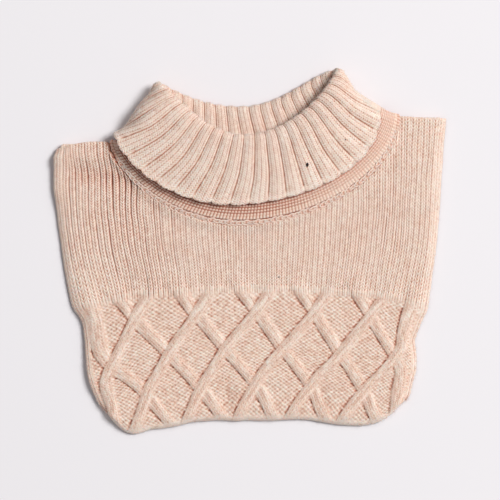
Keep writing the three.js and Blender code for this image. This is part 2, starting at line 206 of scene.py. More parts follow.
def solid_from(name, points, faces, relief, yarn, flat=0):
    """A smooth mesh with two marks at each point: its colour mark from groove to crest, which paints shade
    into the grooves, and its wale and course.
    Its last faces can be flat, so that a hidden wall doesn't bend the shading of the stitches."""
    used, corners = np.unique(np.concatenate(faces), return_inverse=True)
    sizes = np.array([len(f) for f in faces])
    mesh = bpy.data.meshes.new(name)
    mesh.vertices.add(len(used))
    mesh.vertices.foreach_set("co", (points[used] * MM).astype(np.float32).ravel())
    mesh.loops.add(len(corners))
    mesh.loops.foreach_set("vertex_index", corners.astype(np.int32))
    mesh.polygons.add(len(sizes))
    mesh.polygons.foreach_set("loop_start", np.concatenate([[0], np.cumsum(sizes)[:-1]]).astype(np.int32))
    mesh.update(calc_edges=True)
    mesh.polygons.foreach_set("use_smooth", np.arange(len(sizes)) < len(sizes) - flat)
    if flat:
        edges = np.empty(len(mesh.loops), np.int32)
        mesh.loops.foreach_get("edge_index", edges)
        sharp = np.zeros(len(mesh.edges), bool)
        sharp[edges[-sizes[-flat:].sum():]] = True
        mesh.edges.foreach_set("use_edge_sharp", sharp)
    mesh.attributes.new("relief", "FLOAT", "POINT").data.foreach_set("value", relief[used].astype(np.float32))
    stitch = mesh.attributes.new("stitch", "FLOAT2", "POINT")
    stitch.data.foreach_set("vector", yarn[used].astype(np.float32).ravel())
    piece = bpy.data.objects.new(name, mesh)
    bpy.context.scene.collection.objects.link(piece)
    return piece


def numbered(grid, *closing):
    """The numbers of a grid's points, with its first ones again after its last along each axis that
    closes on itself."""
    index = np.arange(grid[..., 0].size).reshape(grid.shape[:-1])
    for axis in closing:
        index = np.concatenate([index, index.take([0], axis)], axis)
    return index


def grid_faces(index):
    """Quads over a grid of point numbers; where points meet, a triangle is left or nothing."""
    quads = np.stack([index[:-1, :-1], index[1:, :-1], index[1:, 1:], index[:-1, 1:]], -1).reshape(-1, 4)
    same = quads == np.roll(quads, -1, 1)
    once = same.sum(1) == 1
    return list(quads[~same.any(1)]) + [quad[~repeat] for quad, repeat in zip(quads[once], same[once])]


def bib_solid(name, lines, slanting, start, end, rise_at, base, up, thick, place, under_place):
    """A bib or a part of one: a stitched face, side walls, and a flat face where it is hidden.

    lines are the rows of the lines of points, and slanting says how much the legs slant. Each
    wale runs from its start row to the end row. rise_at gives the relief in mm and its mark, from
    wales, rows, places in the profile and courses. The stitched face looks up if up is 1, and
    down if it is -1. place and under_place turn wales and rows into mm on the stitched face and
    round the hidden one.
    """
    wale, kind = wale_columns()
    slant = np.array([c["slant"] for c in WALE])[kind] * slanting / COURSES_PER_ROW
    w = np.broadcast_to(wale, (len(lines), len(wale)))
    free = np.asarray(lines)[:, None] - slant[None, :]
    row = np.clip(free, start[None, :], end)
    x, y = place(w, row)
    course = np.broadcast_to((np.asarray(lines)[:, None] - SHOULDER_ROW) * COURSES_PER_ROW, row.shape)
    rise, relief = rise_at(w, row, kind[None, :], course)
    inwards = np.minimum(np.minimum(w, LAST_WALE - w) / EDGE_WALES, 1)
    if start.min() == SHOULDER_ROW:
        inwards = np.minimum(inwards, (row - start[None, :]) / EDGE_ROWS)
    if end == HEM_ROW:
        inwards = np.minimum(inwards, (HEM_ROW - row) / EDGE_ROWS)
    roll = 1 - np.sqrt(1 - (1 - np.clip(inwards, 0, 1)) ** 2)
    z = np.maximum(base + up * (thick + rise - EDGE_ROLL * roll), TABLE_GAP)
    index = np.arange(row.size).reshape(row.shape)
    for i in range(1, len(lines)):
        index[i] = np.where(row[i] == row[i - 1], index[i - 1], index[i])
    points = np.stack([x - MIDDLE[0], y - MIDDLE[1], z], -1).reshape(-1, 3)
    rim = [*index[:, 0], *index[-1, 1:], *index[-2::-1, -1], *index[0, -2:0:-1]]
    rim = np.array([a for a, b in zip(rim, rim[-1:] + rim[:-1]) if a != b])
    below = len(points) + np.arange(len(rim))
    walls = np.stack([rim, below, np.roll(below, -1), np.roll(rim, -1)], -1)
    hidden = list(walls) + [below[::-1]]
    faces = grid_faces(index) + hidden
    if up < 0:
        faces = [face[::-1] for face in faces]
    x, y = under_place(w.ravel()[rim], row.ravel()[rim])
    under = np.stack([x - MIDDLE[0], y - MIDDLE[1], np.full(len(rim), base)], -1)
    yarn = np.stack([w, course], -1).reshape(-1, 2)
    return solid_from(
        name,
        np.concatenate([points, under]),
        faces,
        np.concatenate([relief.ravel(), np.full(len(rim), WALL_MARK)]),
        np.concatenate([yarn, yarn[rim]]),
        len(hidden),
    )


def course_gap(course):
    """How far open the gap between stitches is, from 0 to 1, at a course number."""
    return np.interp(course % 1, [c["at"] for c in COURSE] + [1], [c["gap"] for c in COURSE] + [1])


def grain(w, row):
    """How much a stitch stands out by chance, from -1 to 1, with its neighbours to a lesser part."""
    return 0.6 * soft_noise(w * 2.1, row * 2.6, 17) + 0.5 * soft_noise(w * 4.3 + 0.5, row * 4.7, 18)


def stocking_rise(w, row, kind, course, closed=0, deep=1.0):
    """Relief of ribs of stocking stitch in mm, and its mark from 0 in a groove to 1 on a crest.
    closed shuts the gaps between stitches, and deep makes the grooves between ribs deeper."""
    keys = ("height", "gap", "sinks", "mark")
    height, gap, sinks, mark = (np.array([c[key] for c in WALE])[kind] for key in keys)
    gap = gap * course_gap(course) * (1 - closed)
    uneven = soft_noise(np.round(w + 0.5) * 1.7, row / 7, 3)
    groove = np.clip(GROOVE["usual"] + GROOVE["uneven"] * uneven, GROOVE["least"], GROOVE["most"])
    sunk = sinks * (groove * deep - GROOVE["usual"])
    chance = grain(w, row)
    mark = mark + 0.05 * uneven + GRAIN["mark"] * chance - SUNK_MARK * sunk - GAP_MARK * gap
    return height + GRAIN["height"] * chance - sunk - gap, np.clip(mark, 0, 1)


def course_lines(start, end, places):
    """The rows of all lines of points between two rows, with room for the slant at the end."""
    count = int(np.ceil((end - start) * COURSES_PER_ROW + LEG_SLANT)) + 1
    return [start + (c + at) / COURSES_PER_ROW for c in range(count) for at in places]


def linear(colour):
    """An sRGB hex colour as linear RGBA."""
    value = np.array([int(colour[i:i + 2], 16) / 255 for i in (1, 3, 5)])
    value = np.where(value <= 0.04045, value / 12.92, ((value + 0.055) / 1.055) ** 2.4)
    return (*value, 1.0)


def node(tree, kind, links=None, **settings):
    """Adds a node with its settings; links maps its input names or numbers to values or sockets."""
    made = tree.nodes.new(kind)
    for key, value in settings.items():
        setattr(made, key, value)
    for key, value in (links or {}).items():
        if isinstance(value, bpy.types.NodeSocket):
            tree.links.new(value, made.inputs[key])
        else:
            made.inputs[key].default_value = value
    return made


def mixed(tree, share, low, high, **settings):
    """A colour between two others, or their product if it is set to multiply."""
    links = {0: share, 6: low, 7: high}
    return node(tree, "ShaderNodeMix", links, data_type="RGBA", **settings).outputs[2]


def wool(name, stops, painted_shade_colour, reach):
    """Soft spun lambswool: matt and slightly fuzzy, so it glows a little at grazing angles. Its colour
    holds painted shade: the gaps between stitches are painted redder and darker than their crests,
    after each point's mark, and so is cloth under other cloth, after an occlusion test, in place of
    light that bounces between the strands and takes up the dye. The yarn is flecked with paler and
    pinker fibres."""
    material = bpy.data.materials.new(name)
    material.use_nodes = True
    tree = material.node_tree
    tree.nodes.clear()
    place = node(tree, "ShaderNodeTexCoord").outputs["Object"]
    relief = node(tree, "ShaderNodeAttribute", attribute_name="relief").outputs["Fac"]
    # Flecks of about 1 mm, patches of about 12 mm and fibres of about 0.4 mm
    flecks = node(tree, "ShaderNodeTexNoise", {"Vector": place, "Scale": 900.0, "Detail": 2.0})
    patches = node(tree, "ShaderNodeTexNoise", {"Vector": place, "Scale": 80.0, "Detail": 2.0})
    fibres = node(tree, "ShaderNodeTexNoise", {"Vector": place, "Scale": 2400.0, "Detail": 3.0})
    uneven = node(tree, "ShaderNodeMath", {0: flecks.outputs["Fac"], 1: 0.5}, operation="SUBTRACT")
    depth = node(
        tree, "ShaderNodeMath", {0: uneven.outputs[0], 1: 0.6, 2: relief}, operation="MULTIPLY_ADD"
    )
    ramp = node(tree, "ShaderNodeValToRGB", {"Fac": depth.outputs[0]})
    elements = ramp.color_ramp.elements
    elements[1].position, elements[1].color = stops[-1][0], linear(stops[-1][1])
    elements[0].position, elements[0].color = stops[0][0], linear(stops[0][1])
    for position, colour in stops[1:-1]:
        elements.new(position).color = linear(colour)
    tint = node(
        tree, "ShaderNodeMapRange", {"Value": patches.outputs["Fac"], "From Min": 0.3, "From Max": 0.7}
    )
    pinker = mixed(tree, tint.outputs["Result"], (1.0, 0.97, 0.95, 1.0), (0.985, 1.0, 1.0, 1.0))
    tinted = mixed(tree, 1.0, ramp.outputs["Color"], pinker, blend_type="MULTIPLY")
    # Painted shade: under the collar's hem and in the creases, within reach, the wool is painted reddish and
    # darker
    occlusion_test = node(tree, "ShaderNodeAmbientOcclusion", {"Distance": reach}, samples=6)
    open_sky = node(
        tree, "ShaderNodeMapRange", {"Value": occlusion_test.outputs["AO"], "From Min": 0.15, "From Max": 0.85}
    )
    painted_shade_tint = mixed(tree, open_sky.outputs["Result"], linear(painted_shade_colour), (1.0, 1.0, 1.0, 1.0))
    colour = mixed(tree, 1.0, tinted, painted_shade_tint, blend_type="MULTIPLY")
    bump = node(
        tree, "ShaderNodeBump", {"Height": fibres.outputs["Fac"], "Strength": 0.5, "Distance": 0.0003}
    )
    shader = node(
        tree,
        "ShaderNodeBsdfPrincipled",
        {
            "Base Color": colour,
            "Roughness": 0.9,
            "Specular IOR Level": 0.2,
            "Subsurface Weight": 0.4,
            "Subsurface Radius": (1.0, 0.6, 0.45),
            "Subsurface Scale": 0.0012,
            "Sheen Weight": 0.12,
            "Sheen Roughness": 0.6,
            "Normal": bump.outputs["Normal"],
        },
    )
    node(tree, "ShaderNodeOutputMaterial", {"Surface": shader.outputs["BSDF"]})
    return material


# Pale pink wool in full light: cream crests over pink grooves, whose darker colour is partly painted shade
pale_wool = wool(
    "lambswool_pale_pink",
    [(0.0, "#b07762"), (0.35, "#d8b5a2"), (0.65, "#ebd6c7"), (1.0, "#f8ede2")],
    "#dc9e84",
    0.006,
)
back_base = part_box("back_panel")[1].z / MM
back_start = neckline_start(wale_columns()[0], NECK_BACK)
RIB_CREST = 0.45  # how far its ribs stand out, mm
BACK_INSET = dict(wales=2.3, rows=1.3)  # how far its edges lie inside the front's


def back_place(wale, row):
    return drawn_in(wale, row, BACK_INSET["wales"], BACK_INSET["rows"])


back_bib = bib_solid(
    "back_bib",
    course_lines(SHOULDER_ROW, HEM_ROW, [0, 0.5]),
    LEG_SLANT,
    back_start,
    HEM_ROW,
    stocking_rise,
    back_base,
    -1,
    PANEL_THICK - RIB_CREST,
    back_place,
    back_place,
)
back_bib.data.materials.append(pale_wool)
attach(back_bib, "root")
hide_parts("back_panel")


# Front yoke: the upper part of the front bib, in narrow ribs of stocking stitch that show the
# grooves between them. It is one piece of knitting with the lattice below it, and its neckline
# and shoulders are linked like the back's. By the left shoulder the cloth is rucked into a roll.
ROLL = dict(lift=2.6, row=-21.3, spread=1.5, last_wale=17, fade=7)
# The fold under the roll: how deep it is, how far the wales above it are pushed aside, how much
# deeper the grooves get in it, how much painted shade darkens it, where it runs and how it fades away
RUCK = dict(
    depth=1.3, shift=3.0, pushed=(-4.5, 0.6), deep=1.0, mark=0.08,
    wale=5, row=-18.3, slope=0.2, spread=1.6, first_wales=(1, 4), last_wale=17, fade=5,
)
CORNER = dict(wales=2.6, rows=2.2, x=2.5, y=3.5)  # how its outer corner at the shoulder is rounded, mm
NECK_SWELL = dict(lift=2.5, rows=2.0)  # the cloth bulges where it is linked to the neckband
# The grooves between its ribs, and how much deeper they get round a wale at the left
YOKE_GROOVE = dict(usual=0.55, uneven=0.35, least=0.15, most=2)
LEFT_GROOVES = dict(deeper=1.2, wale=12, spread=8, fade=0.6, fade_rows=(-6, -1))
SELVEDGE_FLAT = dict(share=0.4, wales=(0.8, 1.8), mark=0.75)  # its outermost wale is flatter
CLOSED = dict(rows=0.6, mark=0.14)  # its last stitches close up and darken before the lattice
BILLOW = 0.6  # how far the cloth lies unevenly, mm
# Past the back's edges the front falls to the table by up to drop mm, over its last wales and rows,
# and its underside starts further in
EDGE_FALL = dict(drop=4.0, wales=3.0, rows=1.6, under_wales=1.7, under_rows=0.9)
# Rows round which the left edge curls up off the table instead, and for how many rows
CURLS = [dict(row=-18, rows=6), dict(row=11, rows=5)]
CURL_FADE = (8, 20)  # the wales over which a curl dies away
CABLE_PITCH = 12
CABLE_EDGE = 2.8  # wales from the side where the outermost cables run straight down
CABLE_HALF = dict(falling=1.75, rising=1.6)  # half the width of a cable, in wales
CABLE_TURN = 1.5  # rows over which a cable turns aside, before and after the lattice's first row
CABLE_GATHER_ROW = -3  # where ribs of the yoke start to gather into a cable
CROSSING_ROW = 4
CABLE_LIFT = 1.3


def bent_in(centre, softness=1.2):
    """A cable's middle, turned straight down smoothly where it would run off the side."""
    low, high = CABLE_EDGE, LAST_WALE - CABLE_EDGE
    centre = (centre + low + np.sqrt((centre - low) ** 2 + softness**2)) / 2
    return (centre + high - np.sqrt((centre - high) ** 2 + softness**2)) / 2


def cable_distance(w, row):
    """Signed distance, in half widths, from the nearest cable that falls to the right going down
    and from the nearest that falls to the left."""
    turning = (row + CABLE_TURN) ** 2 / (4 * CABLE_TURN)
    run = np.where(row < -CABLE_TURN, 0, np.where(row < CABLE_TURN, turning, row))
    steps = run - CROSSING_ROW
    nearest = []
    for sign, half in ((1, CABLE_HALF["falling"]), (-1, CABLE_HALF["rising"])):
        best = np.full(np.broadcast(w, row).shape, 99.0)
        for first in range(-1, LAST_WALE, CABLE_PITCH):
            centre = first + steps if sign > 0 else first + CABLE_PITCH - steps
            away = (w - bent_in(centre)) / half
            best = np.where(np.abs(away) < np.abs(best), away, best)
        nearest.append(best)
    return nearest


front_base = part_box("front_panel")[0].z / MM
front_start = neckline_start(wale_columns()[0], NECK_FRONT)


def front_underside(wale, row):
    return drawn_in(wale, row, EDGE_FALL["under_wales"], EDGE_FALL["under_rows"])


def edge_fall(w, row):
    """How far the front drops towards its outer edges, in mm."""
    to_side = np.minimum(w, LAST_WALE - w) / EDGE_FALL["wales"]
    to_edge = np.minimum(to_side, (HEM_ROW - row) / EDGE_FALL["rows"])
    fall = EDGE_FALL["drop"] * (1 - np.clip(to_edge, 0, 1)) ** 2
    curled = sum(np.exp(-(((row - curl["row"]) / curl["rows"]) ** 2)) for curl in CURLS)
    return fall * (1 - 0.9 * np.clip(curled, 0, 1) * (1 - smooth_step(w, *CURL_FADE)))


def ruck(w, row):
    """Where a wale and row lie from the fold under the shoulder's roll, in rows, and how much of
    the fold is there."""
    fold = RUCK["row"] + RUCK["slope"] * (w - RUCK["wale"])
    share = np.clip((RUCK["last_wale"] - w) / RUCK["fade"], 0, 1) * smooth_step(w, *RUCK["first_wales"])
    return row - fold, share


def yoke_place(wale, row):
    """The front's places, with the wales above the shoulder's fold pushed aside."""
    x, y = panel_place(wale, row)
    past, share = ruck(wale, row)
    corner = np.clip(1 - wale / CORNER["wales"], 0, 1)
    corner = corner * np.clip(1 - (row - SHOULDER_ROW) / CORNER["rows"], 0, 1)
    x = x - RUCK["shift"] * share * (1 - smooth_step(past, *RUCK["pushed"])) + CORNER["x"] * corner
    return x, y - CORNER["y"] * corner


def neck_swell(w, row):
    """How far the front bulges beside the neck seam, in mm."""
    starts = np.interp(w, wale_columns()[0], front_start)
    beside = 1 - smooth_step(row - starts, 0, NECK_SWELL["rows"])
    return NECK_SWELL["lift"] * beside * smooth_step(starts - SHOULDER_ROW, 0, 2)


def yoke_rise(w, row, kind, course):
    """Relief of the yoke in mm, with its roll, ruck and gathering cables, and its mark."""
    closed = smooth_step(row, LATTICE_ROW - CLOSED["rows"], LATTICE_ROW)
    past, share = ruck(w, row)
    folded = share * np.exp(-((past / RUCK["spread"]) ** 2))
    at_left = np.exp(-(((w - LEFT_GROOVES["wale"]) / LEFT_GROOVES["spread"]) ** 2))
    at_left = at_left * (1 - LEFT_GROOVES["fade"] * smooth_step(row, *LEFT_GROOVES["fade_rows"]))
    deep = YOKE_GROOVE["usual"] + YOKE_GROOVE["uneven"] * soft_noise(w / 6, row / 9, 21)
    deep = np.clip(deep + LEFT_GROOVES["deeper"] * at_left, YOKE_GROOVE["least"], YOKE_GROOVE["most"])
    rise, mark = stocking_rise(w, row, kind, course, closed, deep + RUCK["deep"] * folded)
    mark = mark - CLOSED["mark"] * closed
    to_side = np.minimum(w, LAST_WALE - w)
    flat = SELVEDGE_FLAT["share"] * (1 - smooth_step(to_side, *SELVEDGE_FLAT["wales"]))
    rise = rise * (1 - flat)
    mark = mark + (SELVEDGE_FLAT["mark"] - mark) * flat
    falling, rising = cable_distance(w, row)
    bundle = np.maximum(1 - np.minimum(np.abs(falling), np.abs(rising)) ** 2, 0) ** 0.5
    rise = rise + CABLE_LIFT * bundle * smooth_step(row, CABLE_GATHER_ROW, LATTICE_ROW)
    side = np.clip((ROLL["last_wale"] - w) / ROLL["fade"], 0, 1)
    rise = rise + ROLL["lift"] * side * np.exp(-(((row - ROLL["row"]) / ROLL["spread"]) ** 2))
    rise = rise - RUCK["depth"] * folded + BILLOW * soft_noise(w / 8, row / 5, 5)
    rise = rise + neck_swell(w, row) - edge_fall(w, row)
    return rise, np.clip(mark - RUCK["mark"] * folded, 0, 1)


front_yoke = bib_solid(
    "front_yoke",
    course_lines(SHOULDER_ROW, LATTICE_ROW, [c["at"] for c in COURSE]),
    LEG_SLANT,
    front_start,
    LATTICE_ROW,
    yoke_rise,
    front_base,
    1,
    PANEL_THICK,
    yoke_place,
    front_underside,
)
front_yoke.data.materials.append(pale_wool)
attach(front_yoke, "root")
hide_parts("front_panel")


# Front lattice: the lower part of the front bib. Cables of three wales run over each other in a
# lattice, those that fall to the left on top, on a ground of reverse stocking stitch whose purl
# bumps lie like bricks. Its hem is slightly wavy.
LATTICE_LINES = 222
BUMP_WALES = 1.2  # from one purl bump to the next along a course
BUMP_ROWS = 0.555  # from one course of bumps to the next but one
GROUND_DROP = 0.2  # how far the ground's bumps stand under the yoke's ribs, mm
PURL_DEPTH = 0.7
# Marks between the purl bumps and on them; the low mark in the gaps is painted shade
PURL_MARK = dict(low=0.16, bump=0.66)
PURL_UNEVEN = dict(wales=0.12, rows=0.05, size=0.3)  # how far bumps stray and differ in size
# How a cable is domed towards its left and its right side, where its right side runs out into the
# ground, in half widths, and how its stitches stand out and are marked
CABLE_DOME = dict(left=2.1, right=1.8, power=0.75)
CABLE_RUN_OUT = (0.4, 1.15)
CABLE_STITCH = dict(rise=0.6, low=0.22, high=0.5)
CABLE_DIP = dict(share=0.6, reach=(1.0, 1.9))  # how a falling cable dips where a rising one crosses it
CREASE_DEPTH = dict(falling=0.6, rising=0.75)
CREASE_WIDTH = 0.17  # of half a cable's width
CREASE_MARK = 0.65  # how much a crease a millimetre deep takes from the mark, as painted shade in the crease
STRANDS = 3  # wales of stitches that show across a cable
SELVEDGE = 1.2  # wales of stocking stitch along each side
LATTICE_HEM = dict(rows=(0.9, 0.3), flat=0.8, mark=0.85)  # where its last courses flatten, above the hem
HOLLOWS = [
    dict(wale=28.5, row=17.6, wide=1.5, long=2.0, depth=1.4),
    dict(wale=49.5, row=18.3, wide=1.4, long=1.5, depth=1.3),
]
HOLLOW_MARK = 0.12  # painted shade: how much darker their middle is painted


def across_wale(key, across):
    """A column of the wale's profile, read across its width from 0 to 1."""
    return np.interp(across, [c["at"] for c in WALE] + [1.0], [c[key] for c in WALE] + [WALE[0][key]])


def cable_rise(away, row, crease_depth):
    """Relief of a cable in mm over the yoke's face, its mark, how much of it shows where its right
    side runs out into the ground, and the crease along its left."""
    shows = np.where(away < 0, away > -1, 1 - smooth_step(away, *CABLE_RUN_OUT))
    power = np.where(away < 0, CABLE_DOME["left"], CABLE_DOME["right"])
    dome = np.maximum(1 - np.abs(away) ** power, 0) ** CABLE_DOME["power"]
    chance = 0.8 * soft_noise(away * 4, row * 0.9, 35) + 0.5 * grain(away * 2, row)
    across = ((away + 0.08 * soft_noise(row * 1.1, away * 2, 33)) * STRANDS / 2) % 1
    leg = LEG_SLANT * np.abs(2 * across - 1)
    gap = across_wale("gap", across) * course_gap(row * COURSES_PER_ROW + leg)
    stitches = 0.8 * across_wale("height", across) - 0.7 * gap + chance * GRAIN["height"]
    rise = -GROUND_DROP + (CABLE_LIFT + GROUND_DROP + CABLE_STITCH["rise"] * stitches) * dome
    uneven = 0.75 + 0.5 * soft_noise(row * 1.3, away * 0 + 3, 31) + 0.5 * soft_noise(row * 4.2, away * 2, 32)
    edge = away + 1.08 + 0.07 * soft_noise(row * 2.6, away * 0 + 9, 34)
    crease = crease_depth * np.clip(uneven, 0, 2) * np.exp(-((edge / CREASE_WIDTH) ** 2))
    mark = CABLE_STITCH["low"] + CABLE_STITCH["high"] * across_wale("mark", across)
    # The mark rises over the cable's dome, as painted light on its top, and falls in gaps as painted shade
    mark = mark - 0.7 * GAP_MARK * gap + 0.1 * dome + GRAIN["mark"] * chance
    return rise, np.clip(mark, 0, 1), shows, crease


def lattice_rise(w, row, kind, course):
    """Relief of the lattice in mm over the yoke's face, from the ground up, and its mark."""
    stray = PURL_UNEVEN["wales"] * soft_noise(w * 0.9, row * 1.9, 42)
    across = np.pi * 2 * (w + stray) / BUMP_WALES
    stray = PURL_UNEVEN["rows"] * soft_noise(w * 1.1, row * 2, 43)
    along = np.pi * 2 * (row + stray) / BUMP_ROWS
    size = 1 + PURL_UNEVEN["size"] * soft_noise(w * 1.7, row * 3.3, 41)
    bumps = (0.5 + 0.5 * np.cos(across) * np.cos(along)) ** 0.8 * size
    ground = -GROUND_DROP - PURL_DEPTH * (1 - bumps)
    ground_mark = PURL_MARK["low"] + PURL_MARK["bump"] * bumps + GRAIN["mark"] * grain(w, row)
    falling, rising = cable_distance(w, row)
    fall, fall_mark, shows, fall_crease = cable_rise(falling, row, CREASE_DEPTH["falling"])
    over, over_mark, over_shows, over_crease = cable_rise(rising, row, CREASE_DEPTH["rising"])
    dip = 1 - CABLE_DIP["share"] * (1 - smooth_step(np.abs(rising), *CABLE_DIP["reach"]))
    fall = -GROUND_DROP + (fall + GROUND_DROP) * dip
    rise = ground - fall_crease + (fall - ground + fall_crease) * shows
    mark = ground_mark - CREASE_MARK * fall_crease
    mark = mark + (fall_mark - mark) * shows
    crease = over_crease * (1 - 0.5 * shows)
    rise = rise - crease + (over - rise + crease) * over_shows
    mark = mark - CREASE_MARK * crease
    mark = mark + (over_mark - mark) * over_shows
    for hollow in HOLLOWS:
        far = ((w - hollow["wale"]) / hollow["wide"]) ** 2 + ((row - hollow["row"]) / hollow["long"]) ** 2
        rise = rise - hollow["depth"] * np.exp(-far)
        mark = mark - HOLLOW_MARK * np.exp(-far)
    selvedge = 1 - smooth_step(np.minimum(w, LAST_WALE - w), SELVEDGE - 0.3, SELVEDGE + 0.3)
    plain, plain_mark = yoke_rise(w, row, kind, course)
    started = smooth_step(row, LATTICE_ROW, LATTICE_ROW + 1.1) * (1 - selvedge)
    rise = plain + (rise - edge_fall(w, row) - plain) * started
    mark = plain_mark + (mark - plain_mark) * started
    hem = smooth_step(row, *(HEM_ROW - rows for rows in LATTICE_HEM["rows"]))
    fall = edge_fall(w, row)
    rise = (rise + fall) * (1 - LATTICE_HEM["flat"] * hem) - fall
    return rise, np.clip(mark + (LATTICE_HEM["mark"] - mark) * 0.85 * hem, 0, 1)


lattice_start = np.full(len(wale_columns()[0]), float(LATTICE_ROW))
front_lattice = bib_solid(
    "front_lattice",
    np.linspace(LATTICE_ROW, HEM_ROW, LATTICE_LINES),
    0,
    lattice_start,
    HEM_ROW,
    lattice_rise,
    front_base,
    1,
    PANEL_THICK,
    panel_place,
    front_underside,
)
front_lattice.data.materials.append(pale_wool)
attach(front_lattice, "root")
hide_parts("front_panel")


# Shoulder seams: short linked seams of the same wool that join both bibs at the top, beside the
# neck. Each is a soft roll of small stitches whose outer end bends round the cloth's corner.
SEAM_SIDES = 12
SEAM_STITCH = 2.6  # along the edge, mm
SEAM_NARROWER = 0.3  # on each side than the bare seam, mm
SEAM_BEND = 4.5  # how far its outer end bends round the corner of the cloth, mm
SEAM_BEND_FROM = 0.65  # of the way from its middle to its end
for side, outwards in (("left", -1), ("right", 1)):
    low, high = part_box("shoulder_seam_" + side)
    half = [(b - a) / 2 / MM for a, b in zip(low, high)]
    half[1] -= SEAM_NARROWER
    middle = [(a + b) / 2 / MM for a, b in zip(low, high)]
    slices = int(half[0] * 2 / SEAM_STITCH) * 4
    s_along = np.linspace(-1, 1, slices + 1)[:, None]
    turn = np.linspace(0, 2 * np.pi, SEAM_SIDES, endpoint=False)[None, :]
    ends = np.maximum(1 - np.abs(s_along) ** 12, 0.0004) ** 0.5
    stitch = 0.5 + 0.5 * np.cos(2 * np.pi * (np.arange(slices + 1)[:, None] / 4 + np.abs(np.sin(turn)) * 0.4))
    swell = ends * (1 - 0.1 * (1 - stitch))
    bent = np.clip((outwards * s_along - SEAM_BEND_FROM) / (1 - SEAM_BEND_FROM), 0, 1) ** 2
    ring = np.stack(
        [
            middle[0] + half[0] * s_along - outwards * SEAM_BEND * 0.7 * bent + 0 * turn,
            middle[1] + half[1] * swell * np.cos(turn) - SEAM_BEND * bent,
            middle[2] + half[2] * swell * np.sin(turn),
        ],
        -1,
    )
    index = numbered(ring, 1)
    caps = [index[0, :-1][::-1], index[-1, :-1]]
    # The roll's mark is lower between its stitches, as painted shade in the gaps
    seam = solid_from(
        "shoulder_roll_" + side,
        ring.reshape(-1, 3),
        [f[::-1] for f in grid_faces(index)] + [cap[::-1] for cap in caps],
        (0.45 + 0.35 * np.broadcast_to(stitch, index[:, 1:].shape)).ravel(),
        np.zeros((ring[..., 0].size, 2)),
    )
    seam.data.materials.append(pale_wool)
    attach(seam, "root")
    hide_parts("shoulder_seam_" + side)


# Neckband: fine rib of the same wool, picked up along the neckline. It stands up inside the fold
# of the collar, in its shadow, and the chain seam holds its lower edge.
COLLAR_RIBS = 40
WALL_HALF = 1.4
TRACE_STEPS = 160
# Rings round the neck in mm, from the neckline up the stand, over the fold and down to the hem.
# Each has a left and a right fold, and a front and a back curve that sag from the line between
# them; full is 1 for a parabola and 2 for an ellipse, lift raises or lowers the curve from the
# folds over the first round millimetres, and ribs says which rib lies at each fold.
RINGS = [
    dict(left=(*NECK_LEFT, 5.4), right=(*NECK_RIGHT, 5.4), round=7, ribs=(-0.6, 19.2),
         front=dict(**NECK_FRONT, lift=3.8),
         back=dict(**NECK_BACK, lift=-2.9)),
    dict(left=(-105.5, 107, 9.4), right=(118.5, 127.5, 9.2), round=8, ribs=(-1.5, 19.6),
         front=dict(sag=61, full_left=1.6, full_right=1.6, lift=9),
         back=dict(sag=36.5, full_left=1.5, full_right=1.5, lift=-2)),
    dict(left=(-80, 145.4, 12), right=(79.8, 157.6, 12), round=18, ribs=(-2.6, 20.3),
         front=dict(sag=52.5, full_left=0.9, full_right=1.25, lift=9),
         back=dict(sag=27.4, full_left=0.95, full_right=0.6, lift=-5)),
    dict(left=(-80.4, 149.4, 12), right=(79.2, 161.6, 12), round=22, ribs=(-2.6, 20.3),
         front=dict(sag=53, full_left=0.85, full_right=1.2, lift=11.8),
         back=dict(sag=26.6, full_left=0.95, full_right=0.55, lift=-7.4)),
    dict(left=(-84.4, 148, 12), right=(83.8, 160.4, 12), round=24, ribs=(-2.5, 20.2),
         front=dict(sag=55, full_left=0.9, full_right=1.25, lift=14.2),
         back=dict(sag=28.6, full_left=0.95, full_right=0.6, lift=-8.7)),
    dict(left=(-100.5, 127, 11), right=(97.7, 140.2, 11), round=16, ribs=(-1.2, 19.1),
         front=dict(sag=63.1, full_left=1.15, full_right=1.8, lift=14.2),
         back=dict(sag=35, full_left=1, full_right=1, lift=-7.8)),
    dict(left=(-121, 104.5, 9), right=(118, 126, 9), round=9, ribs=(0.2, 18.5),
         front=dict(sag=74, full_left=1.42, full_right=2.35, lift=11.5),
         back=dict(sag=40, full_left=0.98, full_right=1.4, lift=-6.2)),
]
BAND_WALES = 220
BAND_COURSES = 11
BAND_PAINTED_SHADE = dict(left=1.0, right=0.4, first_rib=9.5, last_rib=14)  # painted shade in its gaps and grooves: strong at the left, weak at the right, fading between these ribs
# One wale of the band up to its middle, too narrow for its two legs to show apart
BAND_WALE = mirrored([
    dict(at=0.0, height=-0.4, slant=0.2, gap=0.3, mark=0.25),
    dict(at=0.25, height=0.15, slant=0.1, gap=0.9, mark=0.75),
    dict(at=0.5, height=0.35, slant=0.0, gap=1.1, mark=0.9),
])
BAND_START = 0.03  # of the way from the neckline to the next ring, clear of the chain
BAND_HIDDEN = (0.97, 0.7, 0.4, 0.15)  # heights that its hidden side comes back through, in rings
BAND_UNSHADED_MARK = 0.8  # its mark where no shade is painted
EDGE_BULGE = 1.0  # how far a tube's edge is rounded out, mm
TUBE_MARK = 0.6  # of a tube's edges and hidden side


